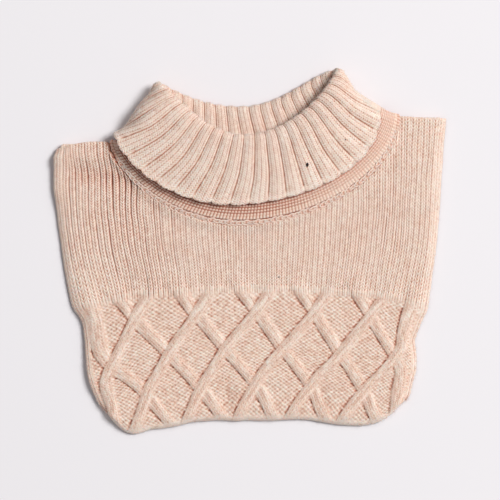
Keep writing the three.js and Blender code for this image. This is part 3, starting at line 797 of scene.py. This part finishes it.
def trace_ring(ring, rib):
    """Points of a ring at rib numbers, even in length on each side of its folds."""
    traced = []
    for side, direction in ((ring["front"], 1), (ring["back"], -1)):
        s = -direction * np.cos(np.pi * np.arange(TRACE_STEPS + 1) / TRACE_STEPS)
        full = np.where(s < 0, side["full_left"], side["full_right"])
        share = ((s + 1) / 2)[:, None]
        points = np.array(ring["left"]) * (1 - share) + np.array(ring["right"]) * share
        points[:, 1] -= side["sag"] * np.maximum(1 - s * s, 0) ** (1 / full)
        length = np.concatenate([[0], np.cumsum(np.linalg.norm(np.diff(points, axis=0), axis=1))])
        from_fold = np.minimum(length, length[-1] - length)
        points[:, 2] += side["lift"] * np.sqrt(1 - (1 - np.minimum(from_fold / ring["round"], 1)) ** 2)
        length = np.concatenate([[0], np.cumsum(np.linalg.norm(np.diff(points, axis=0), axis=1))])
        traced.append((points, length))
    first, last = ring["ribs"]
    turned = np.mod(rib - first, COLLAR_RIBS)
    front_ribs = last - first
    found = []
    for (points, length), part in zip(
        traced, (turned / front_ribs, (turned - front_ribs) / (COLLAR_RIBS - front_ribs))
    ):
        found.append(np.stack([np.interp(part * length[-1], length, points[:, k]) for k in range(3)], -1))
    return np.where((turned <= front_ribs)[..., None], *found)


def cloth_at(rib, height):
    """The middle of the cloth at rib numbers and heights, counted in rings from the neckline."""
    rib, height = np.broadcast_arrays(np.asarray(rib, float), np.asarray(height, float))
    knots = np.array([trace_ring(ring, rib) for ring in RINGS])
    knots = np.concatenate([2 * knots[:1] - knots[1:2], knots, 2 * knots[-1:] - knots[-2:-1]])
    i = np.clip(height.astype(int), 0, len(RINGS) - 2)
    p0, p1, p2, p3 = (np.take_along_axis(knots, (i + k)[None, ..., None], 0)[0] for k in range(4))
    steps = (p1 - p0, p2 - p1, p3 - p2)
    d0, d1, d2 = (np.linalg.norm(step, axis=-1, keepdims=True) ** 0.5 for step in steps)
    slope_1 = ((p1 - p0) / d0 - (p2 - p0) / (d0 + d1) + (p2 - p1) / d1) * d1
    slope_2 = ((p2 - p1) / d1 - (p3 - p1) / (d1 + d2) + (p3 - p2) / d2) * d1
    t = (height - i)[..., None]
    return (
        (2 * t**3 - 3 * t**2 + 1) * p1
        + (t**3 - 2 * t**2 + t) * slope_1
        + (3 * t**2 - 2 * t**3) * p2
        + (t**3 - t**2) * slope_2
    )


def unit(vectors):
    """Vectors made one long."""
    return vectors / np.linalg.norm(vectors, axis=-1, keepdims=True)


def cloth_directions(rib, height):
    """Unit vectors at points of the cloth: up along it, and out of its side away from the neck,
    which shows on the neckband and is hidden in the folded collar."""
    step = 0.04
    low, high = np.maximum(height - step, 0), np.minimum(height + step, len(RINGS) - 1)
    up = cloth_at(rib, high) - cloth_at(rib, low)
    along = cloth_at(rib + step, height) - cloth_at(rib - step, height)
    return unit(up), unit(np.cross(along, up))


def neck_tube(name, rib, height, rise, relief, yarn, side, hidden):
    """A closed tube of cloth round the neck: its stitched side, and its plain hidden side coming
    back through a few heights. side is 1 if the stitched side is the one away from the neck."""
    up, away = cloth_directions(rib, height)
    front = cloth_at(rib, height) + side * away * (WALL_HALF + rise)[..., None]
    back = []
    for level in hidden:
        at = np.full(rib.shape[1], 0.0) + level
        _, away = cloth_directions(rib[0], at)
        back.append(cloth_at(rib[0], at) - side * away * WALL_HALF)
    rounding = EDGE_BULGE * up[[0, -1]] * np.array([-1, 1])[:, None, None]
    ends = cloth_at(rib[[0, -1]], height[[0, -1]]) + rounding
    grid = np.concatenate([ends[:1], front, ends[1:], np.array(back)])
    columns = grid.shape[1]
    index = numbered(grid, 0, 1)
    points = grid.reshape(-1, 3) - [*MIDDLE, 0]
    extra = len(points) - relief.size
    marks = [np.full(columns, TUBE_MARK), relief.ravel(), np.full(extra - columns, TUBE_MARK)]
    yarns = np.concatenate([yarn[0], yarn.reshape(-1, 2), np.resize(yarn[-1], (extra - columns, 2))])
    faces = [face[::-side] for face in grid_faces(index)]
    return solid_from(name, points, faces, np.concatenate(marks), yarns)


def tube_stitches(profile, repeats, courses):
    """For the points of a tube's stitched side: where each column stands, in repeats of the
    profile, what the profile says there, and the course of every point."""
    column = np.arange(repeats * len(profile))
    kind = column % len(profile)
    keys = ("at", "height", "slant", "gap", "mark")
    at, height, slant, gap, mark = (np.array([c[key] for c in profile])[kind] for key in keys)
    course = np.repeat(np.arange(courses), len(COURSE)) + np.tile([c["at"] for c in COURSE], courses)
    course = np.broadcast_to(course[:, None], (len(course), len(column)))
    return column // len(profile) + at, height, slant, gap, mark, course


wale, crest, slant, gap, mark, course = tube_stitches(BAND_WALE, BAND_WALES, BAND_COURSES)
share = np.clip((course - slant * LEG_SLANT + LEG_SLANT) / (BAND_COURSES - 1 + LEG_SLANT), 0, 1)
rib = np.broadcast_to(wale * COLLAR_RIBS / BAND_WALES, share.shape)
# Painted shade: the band's stitches are painted darker in their gaps at the left and middle, where the collar
# shades it
band_shade_share = BAND_PAINTED_SHADE["left"] + (BAND_PAINTED_SHADE["right"] - BAND_PAINTED_SHADE["left"]) * smooth_step(
    rib, BAND_PAINTED_SHADE["first_rib"], BAND_PAINTED_SHADE["last_rib"]
)
gap = gap * course_gap(course) * smooth_step(course, 0.6, 1.6)
mark = np.clip(BAND_UNSHADED_MARK + (mark - BAND_UNSHADED_MARK - 0.6 * gap) * band_shade_share, 0, 1)
height = BAND_START + (1 - BAND_START) * share
yarn = np.stack([rib, course], -1)
neckband = neck_tube("neckband_rib", rib, height, crest - gap, mark, yarn, 1, BAND_HIDDEN)
# The same wool with painted shade for its place under the collar: redder and darker colours and a wider reach
# of painted reddish shade, in place of light that comes off other wool
neckband.data.materials.append(
    wool(
        "lambswool_with_painted_shade",
        [(0.0, "#a25843"), (0.35, "#cb947e"), (0.65, "#e8cab8"), (1.0, "#f8e6d8")],
        "#b65a3e",
        0.016,
    )
)
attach(neckband, "root")
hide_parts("neckband")


# Collar: a wide rib knitted on from the neckband. It stands up round the neck and folds over
# outwards, so its inside shows behind the neck and its other half lies over the front.
# One rib up to its middle, with the groove beside it
RIB = mirrored([
    dict(at=0.0, height=-1.6, slant=0.9, gap=0.0, mark=0.05),
    dict(at=0.03, height=-0.8, slant=0.9, gap=0.1, mark=0.38),
    dict(at=0.1, height=-0.3, slant=0.6, gap=0.5, mark=0.9),
    dict(at=0.2, height=-0.25, slant=0.0, gap=0.8, mark=0.58),
    dict(at=0.28, height=0.35, slant=0.5, gap=0.6, mark=1.0),
    dict(at=0.353, height=0.0, slant=1.0, gap=0.2, mark=0.68),
    dict(at=0.427, height=0.75, slant=0.5, gap=0.6, mark=1.0),
    dict(at=0.5, height=0.15, slant=0.0, gap=0.8, mark=0.58),
])
COLLAR_COURSES = 55
HEM_SCALLOP = 0.07  # how far the hem's grooves end before its ribs, of the last ring's step
HEM_CLOSE = 2.2  # courses before the hem over which the grooves fill
HEM_PALE = dict(share=0.7, mark=0.95)  # how the mark pales there
COLLAR_HIDDEN = (5.98, 5.5, 5, 4, 3, 2, 1.5, 1.02)  # heights of its hidden side, in rings
RIB_UNEVEN = dict(rise=0.25, sway=0.045)  # how much ribs differ in height and how far they sway
rib, groove, slant, gap, mark, course = tube_stitches(RIB, COLLAR_RIBS, COLLAR_COURSES)
share = np.clip((course - slant * LEG_SLANT + LEG_SLANT / 2) / (COLLAR_COURSES - 0.5), 0, 1)
# Courses are even in length, so heights are read from the mean length of cloth below them
levels = np.linspace(1, len(RINGS) - 1, 101)
path = cloth_at(np.arange(COLLAR_RIBS)[None, :], levels[:, None])
length = np.linalg.norm(np.diff(path, axis=0), axis=-1).mean(1)
length = np.concatenate([[0], np.cumsum(length)]) / length.sum()
end = len(RINGS) - 1 - HEM_SCALLOP * (1 - np.sin(np.pi * (rib % 1)) ** 0.5)
height = np.minimum(np.interp(share, length, levels), end)
at_hem = smooth_step(share * COLLAR_COURSES, COLLAR_COURSES - 1 - HEM_CLOSE, COLLAR_COURSES - 1)
gap = gap * course_gap(course)
rise = np.where(groove < 0, groove * (1 - 0.6 * at_hem), groove) - gap
mark = mark + (HEM_PALE["mark"] - mark) * HEM_PALE["share"] * at_hem
mark = np.clip(mark - GAP_MARK * gap, 0, 1)
uneven = soft_noise(rib[None, :] * 2.1, share * 9, 51)
chance = grain(rib[None, :] * 3, share * 22)
rise = rise * (1 + RIB_UNEVEN["rise"] * uneven) + GRAIN["height"] * chance
mark = np.clip(mark + GRAIN["mark"] * chance, 0, 1)
ribs = rib[None, :] + RIB_UNEVEN["sway"] * soft_noise(rib[None, :] * 0.7, share * 5, 52)
yarn = np.stack([ribs, course], -1)
collar = neck_tube("collar_rib", ribs, height, rise, mark, yarn, -1, COLLAR_HIDDEN)
collar.data.materials.append(pale_wool)
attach(collar, "root")
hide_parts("collar")


# Neck seam: a chain of the same wool that links the neckband's first course to both bibs. Its
# loops lie over the raw edges as a raised line, on a core of the stitches that they hold.
CHAIN_LINKS = 132
LOOP_POINTS = 14
LOOP_SIDES = 6
LOOP_LENGTH = 1.4  # of the distance from one link to the next
LOOP_HALF_WIDTH = 1.5
LOOP_LIFT = dict(usual=1.2, over=0.3, uneven=0.9, least=0.2, near_fold=1.5)  # mm, and ribs from a fold
LOOP_STRAY = 0.8  # how far a loop strays sideways, mm
# The loops' mark is lighter on their outer side, as a painted highlight
LOOP_MARK = dict(usual=0.76, crest=0.14)
YARN_RADIUS = 0.65
LOOP_SHIFT = 0.8  # towards the neckband, mm
CORE_POINTS = 792
CORE_STITCH = 3  # points to each stitch that shows between the loops
CORE_SIDES = 8
CORE_HALF = dict(up=2.0, away=1.6, knot=0.4)  # half its width and thickness, and what a stitch adds
# The core's mark is lower between its stitches, as painted shade
CORE_MARK = dict(low=0.15, knot=0.55)
turn = np.linspace(0, 2 * np.pi, LOOP_POINTS, endpoint=False)
links = np.arange(CHAIN_LINKS) * COLLAR_RIBS / CHAIN_LINKS
step = COLLAR_RIBS / CHAIN_LINKS
along = links[:, None] + step * LOOP_LENGTH * (0.5 - 0.5 * np.cos(turn))
uneven = np.random.default_rng(3).uniform(-0.35, 0.35, (3, CHAIN_LINKS, 1))
offset = LOOP_SHIFT + LOOP_HALF_WIDTH * np.sin(turn) * (1.15 - 0.3 * np.cos(turn)) * (1 + uneven[0])
offset = offset + LOOP_STRAY * uneven[1]
from_fold = np.minimum(*(np.abs((along - fold + 20) % COLLAR_RIBS - 20) for fold in RINGS[0]["ribs"]))
lift = LOOP_LIFT["usual"] + LOOP_LIFT["over"] * np.cos(turn) + LOOP_LIFT["uneven"] * uneven[2]
lift = lift * np.clip(from_fold / LOOP_LIFT["near_fold"], LOOP_LIFT["least"], 1)
up, away = cloth_directions(along, np.zeros_like(along))
route = cloth_at(along, np.zeros_like(along)) + up * offset[..., None] + away * lift[..., None]
ahead = unit(np.roll(route, -1, 1) - np.roll(route, 1, 1))
wide = unit(np.cross(ahead, away))
high = np.cross(wide, ahead)
round_it = np.linspace(0, 2 * np.pi, LOOP_SIDES, endpoint=False)[:, None]
tube = route[:, :, None] + YARN_RADIUS * (
    np.cos(round_it) * wide[:, :, None] + np.sin(round_it) * high[:, :, None]
)
faces = [face for loop in numbered(tube, 1, 2) for face in grid_faces(loop)]
loop_mark = LOOP_MARK["usual"] + LOOP_MARK["crest"] * np.sin(round_it[:, 0])
loop_mark = np.broadcast_to(loop_mark, tube.shape[:3]).ravel()
core_rib = np.arange(CORE_POINTS) * COLLAR_RIBS / CORE_POINTS
up, away = cloth_directions(core_rib, np.zeros(CORE_POINTS))
turn = np.linspace(0, 2 * np.pi, CORE_SIDES, endpoint=False)[:, None, None]
knot = 0.5 + 0.5 * np.cos(2 * np.pi * np.arange(CORE_POINTS)[None, :, None] / CORE_STITCH)
half_up, half_away = (CORE_HALF[way] + CORE_HALF["knot"] * knot for way in ("up", "away"))
core = cloth_at(core_rib, 0.0)[None] + (LOOP_SHIFT + half_up * np.cos(turn)) * up
core = core + half_away * np.sin(turn) * away
faces += grid_faces(tube[..., 0].size + numbered(core, 0, 1))
core_mark = np.resize(CORE_MARK["low"] + CORE_MARK["knot"] * knot, core[..., 0].size)
points = np.concatenate([tube.reshape(-1, 3), core.reshape(-1, 3)]) - [*MIDDLE, 0]
seam = solid_from(
    "neck_chain", points, faces, np.concatenate([loop_mark, core_mark]), np.zeros((len(points), 2))
)
# The same wool in the chain, painted warmer and pinker so that its loops don't look grey in shade: painted
# light in place of pink light through the single strands
seam.data.materials.append(
    wool(
        "lambswool_of_the_chain_painted_warm",
        [(0.0, "#ac7460"), (0.35, "#dbae9a"), (0.65, "#f1d1c0"), (1.0, "#fde9dd")],
        "#dc9e84",
        0.006,
    )
)
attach(seam, "root")
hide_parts("neck_seam")


# Stray fibres: fine curved hairs of the same wool that stand out of the knitting, thickest along
# the outlines, so that the edges look soft.
FIBRES = 9500
FIBRE_LENGTH = (1.4, 3.8)  # shortest and longest, mm
FIBRE_RADIUS = 0.09
FIBRE_JOINTS = 4
FIBRE_SINK = 0.2  # how far each starts under the surface, mm
FIBRE_LEAN = 0.9  # how far it leans from straight out
FIBRE_BEND = 0.45  # and how far it bends along its length
FIBRE_TAPER = 0.8
FIBRE_FLOOR = 0.3  # how near the table one comes, mm
FIBRE_MARK = 0.95
EDGE_SHARE = 0.45  # of the fibres stand along the outlines
dice = np.random.default_rng(7)


def read_points(points, key, width):
    """A value of every point of a mesh, as rows of an array."""
    values = np.zeros(len(points) * width)
    points.foreach_get(key, values)
    return values.reshape(-1, width)


def surface_points(piece, wanted, count):
    """Points and normals of a piece in mm, drawn from those that a test on its marks picks."""
    mesh = piece.data
    places = read_points(mesh.vertices, "co", 3) / MM
    normals = read_points(mesh.vertex_normals, "vector", 3)
    stitch = read_points(mesh.attributes["stitch"].data, "vector", 2)
    chosen = dice.choice(np.flatnonzero(wanted(stitch, places, normals)), count)
    return places[chosen], normals[chosen]


def seen(stitch, places, normals):
    """Which points face the eye; the next two functions say which lie along an outline."""
    return normals[:, 2] > 0.2


def bib_edge(stitch, places, normals):
    near = np.minimum(stitch[:, 0], LAST_WALE - stitch[:, 0]) < 0.7
    hem = stitch[:, 1] > (HEM_ROW - SHOULDER_ROW) * COURSES_PER_ROW - 1
    return (near | hem) & (normals[:, 2] > -0.2)


def collar_edge(stitch, places, normals):
    return (stitch[:, 1] > COLLAR_COURSES - 2) | (normals[:, 2] < 0.35) & (normals[:, 2] > -0.2)


edge_fibres = int(FIBRES * EDGE_SHARE)
drawn = [
    surface_points(front_yoke, bib_edge, edge_fibres // 5),
    surface_points(front_lattice, bib_edge, edge_fibres * 2 // 5),
    surface_points(collar, collar_edge, edge_fibres * 2 // 5),
    surface_points(front_yoke, seen, (FIBRES - edge_fibres) // 3),
    surface_points(front_lattice, seen, (FIBRES - edge_fibres) // 3),
    surface_points(collar, seen, (FIBRES - edge_fibres) // 3),
]
roots, out = (np.concatenate(part) for part in zip(*drawn))
lean = unit(out + dice.normal(0, FIBRE_LEAN, roots.shape))
bend = unit(dice.normal(0, 1, roots.shape))
span = dice.uniform(*FIBRE_LENGTH, (len(roots), 1, 1))
t = np.linspace(0, 1, FIBRE_JOINTS)[None, :, None]
path = roots[:, None] - FIBRE_SINK * out[:, None]
path = path + span * (t * lean[:, None] + FIBRE_BEND * t**2 * bend[:, None])
path[..., 2] = np.maximum(path[..., 2], FIBRE_FLOOR)
across = unit(np.cross(lean, bend))
other = np.cross(unit(lean), across)
turn = np.arange(3) * 2 * np.pi / 3
thick = FIBRE_RADIUS * (1 - FIBRE_TAPER * t)[..., None]
hairs = path[:, :, None] + thick * (
    np.cos(turn)[:, None] * across[:, None, None] + np.sin(turn)[:, None] * other[:, None, None]
)
ring = numbered(hairs, 2)
quads = np.stack([ring[:, :-1, :-1], ring[:, 1:, :-1], ring[:, 1:, 1:], ring[:, :-1, 1:]], -1).reshape(-1, 4)
ends = [*ring[:, 0, :-1], *ring[:, -1, -2::-1]]
points = hairs.reshape(-1, 3)
stray = solid_from(
    "stray_fibres",
    points,
    list(quads[:, ::-1]) + ends,
    np.full(len(points), FIBRE_MARK),
    np.zeros((len(points), 2)),
)
stray.data.materials.append(pale_wool)
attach(stray, "root")


# Flecks: four dark bits of plant that came with the fleece and were spun into the yarn. Each is
# held by the strands round it and lies in the face of the knit.
FLECKS = [  # where each lies in mm, and half its width and length
    dict(piece=collar, x=51.0, y=77.2, half=(1.2, 1.9)),
    dict(piece=collar, x=85.2, y=99.6, half=(0.5, 0.6)),
    dict(piece=front_yoke, x=25.8, y=-23.6, half=(0.5, 0.8)),
    dict(piece=front_yoke, x=89.7, y=13.3, half=(0.4, 0.4)),
]
FLECK_HALF_HEIGHT = 0.45
FLECK_REACH = 1.2  # how far round it the knit's highest point is looked for, mm
# Dry bark: nearly black brown and matt
bark = bpy.data.materials.new("dark_plant_bark")
bark.use_nodes = True
bark_shader = bark.node_tree.nodes["Principled BSDF"]
bark_shader.inputs["Base Color"].default_value = linear("#1c120f")
bark_shader.inputs["Roughness"].default_value = 0.8
turn = np.linspace(0, 2 * np.pi, 10, endpoint=False)[:, None]
rise = np.linspace(-1, 1, 7)[None, :] * np.pi / 2 * 0.98
for number, fleck in enumerate(FLECKS, 1):
    places = read_points(fleck["piece"].data.vertices, "co", 3) / MM
    near = np.hypot(places[:, 0] - fleck["x"], places[:, 1] - fleck["y"]) < FLECK_REACH
    wide, long = fleck["half"]
    ball = np.stack(
        [
            fleck["x"] + wide * np.cos(turn) * np.cos(rise),
            fleck["y"] + long * np.sin(turn) * np.cos(rise),
            places[near, 2].max() + FLECK_HALF_HEIGHT * np.sin(rise) + 0 * turn,
        ],
        -1,
    )
    index = numbered(ball, 0)
    points = ball.reshape(-1, 3)
    bit = solid_from(
        "plant_fleck_" + str(number),
        points,
        grid_faces(index) + [index[-2::-1, 0], index[:-1, -1]],
        np.zeros(len(points)),
        np.zeros((len(points), 2)),
    )
    bit.data.materials.append(bark)
    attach(bit, "root")


# Table top: a plain sheet of pale paper on a flat table, which carries the neck warmer. It lies in
# soft daylight from a window at the upper right.
TABLE_HALF = 3.0
bpy.ops.mesh.primitive_plane_add(size=2 * TABLE_HALF, location=(0, 0, 0))
table = bpy.context.object
table.name = "table_top"
# Matt paper: a nearly white, faintly cool ground that shows only the soft shadow
paper = bpy.data.materials.new("matt_white_paper")
paper.use_nodes = True
paper_shader = paper.node_tree.nodes["Principled BSDF"]
paper_shader.inputs["Base Color"].default_value = linear("#edeaec")
paper_shader.inputs["Roughness"].default_value = 0.95
paper_shader.inputs["Specular IOR Level"].default_value = 0.1
table.data.materials.append(paper)

world = bpy.data.worlds.new("soft_daylight")
bpy.context.scene.world = world
world.use_nodes = True
world.node_tree.nodes["Background"].inputs["Color"].default_value = linear("#f7f6f8")
world.node_tree.nodes["Background"].inputs["Strength"].default_value = 0.34


def soft_box(name, place, size, power):
    """A square soft light that looks at the middle of the object."""
    light = bpy.data.lights.new(name, "AREA")
    light.size = size
    light.energy = power
    lamp = bpy.data.objects.new(name, light)
    lamp.location = place
    aim = np.array([0, 0, 0]) - np.array(place)
    lamp.rotation_euler = mathutils.Vector(aim).to_track_quat("-Z", "Y").to_euler()
    bpy.context.scene.collection.objects.link(lamp)


WINDOW = dict(place=(4.4, 2.1, 6.3), size=2.8, power=590)  # m and W
soft_box("window", **WINDOW)

# The camera looks straight down from far off, at the middle of the photograph
CAMERA_HEIGHT = 3.0
PHOTO_MIDDLE = (-0.0003, 0.0009)
PHOTO_WIDTH = 0.45  # width of the photograph at the height of the knit, m
KNIT_HEIGHT = 0.009
camera = bpy.data.cameras.new("camera")
camera.lens = camera.sensor_width * (CAMERA_HEIGHT - KNIT_HEIGHT) / PHOTO_WIDTH
eye = bpy.data.objects.new("camera", camera)
eye.location = (*PHOTO_MIDDLE, CAMERA_HEIGHT)
bpy.context.scene.collection.objects.link(eye)
bpy.context.scene.camera = eye
bpy.context.scene.view_settings.view_transform = "Standard"
